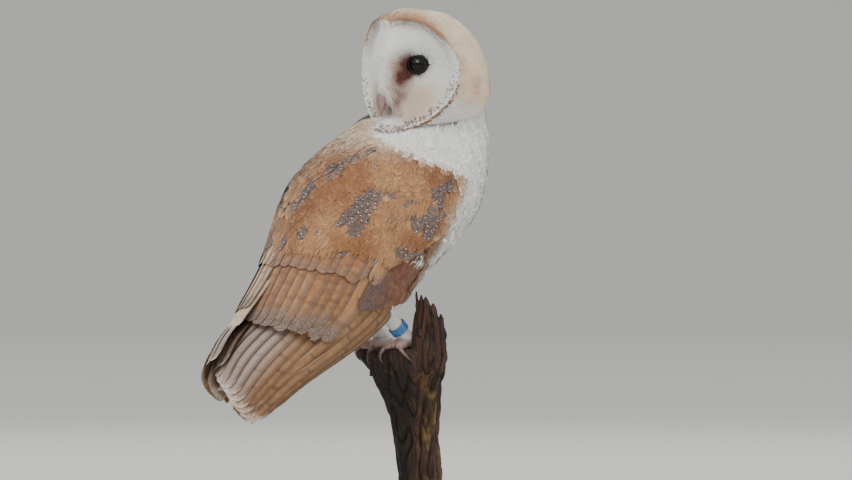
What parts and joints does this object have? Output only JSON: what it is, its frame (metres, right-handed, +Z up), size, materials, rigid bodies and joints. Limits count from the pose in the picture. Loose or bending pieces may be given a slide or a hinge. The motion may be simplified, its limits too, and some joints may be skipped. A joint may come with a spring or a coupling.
{
  "type": "barn owl model",
  "caption": "Life-size museum-type model of a barn owl on a cut branch, looking back over its right shoulder, held by a plain display stand.",
  "frame": {"origin": "centre of the underside of the display stand's base", "axes": "+Z up, +X the way the trunk faces, +Y towards the owl's left; the head is turned back over the right shoulder"},
  "size_m": [0.2761, 0.15, 0.4369],
  "materials": {
    "face_feathers": "soft, matt",
    "crown_feathers": "soft, matt",
    "white_feathers": "soft, matt",
    "golden_feathers": "soft, matt",
    "rufous_feathers": "soft, matt",
    "flight_feathers": "matt",
    "eye": "polished",
    "bill": "satin",
    "toe_skin": "matt, scaled",
    "claw": "satin",
    "leg_ring": "satin",
    "perch_wood": "weathered, fibrous",
    "stand_base": "satin",
    "stand_rod": "brushed"
  },
  "bodies": {
    "root": {"facial_disc": "face_feathers", "head": "crown_feathers", "eye_right": "eye", "eye_left": "eye", "bill_upper": "bill", "bill_lower": "bill", "wing_right_coverts": "golden_feathers", "wing_right_secondaries": "flight_feathers", "wing_right_primary_coverts": "rufous_feathers", "wing_right_primaries": "flight_feathers", "wing_left_coverts": "golden_feathers", "wing_left_secondaries": "flight_feathers", "wing_left_primary_coverts": "rufous_feathers", "wing_left_primaries": "flight_feathers", "tail": "flight_feathers", "neck": "white_feathers", "thigh_right": "white_feathers", "thigh_left": "white_feathers", "mantle": "golden_feathers", "breast": "white_feathers", "tarsus_right": "white_feathers", "toe_right_hind": "toe_skin", "claw_right_hind": "claw", "toe_right_outer": "toe_skin", "claw_right_outer": "claw", "toe_right_middle": "toe_skin", "claw_right_middle": "claw", "toe_right_inner": "toe_skin", "claw_right_inner": "claw", "tarsus_left": "white_feathers", "toe_left_hind": "toe_skin", "claw_left_hind": "claw", "toe_left_outer": "toe_skin", "claw_left_outer": "claw", "toe_left_middle": "toe_skin", "claw_left_middle": "claw", "toe_left_inner": "toe_skin", "claw_left_inner": "claw", "leg_ring": "leg_ring", "perch": "perch_wood", "stand_base": "stand_base", "stand_rod": "stand_rod"}
  },
  "joints": []
}
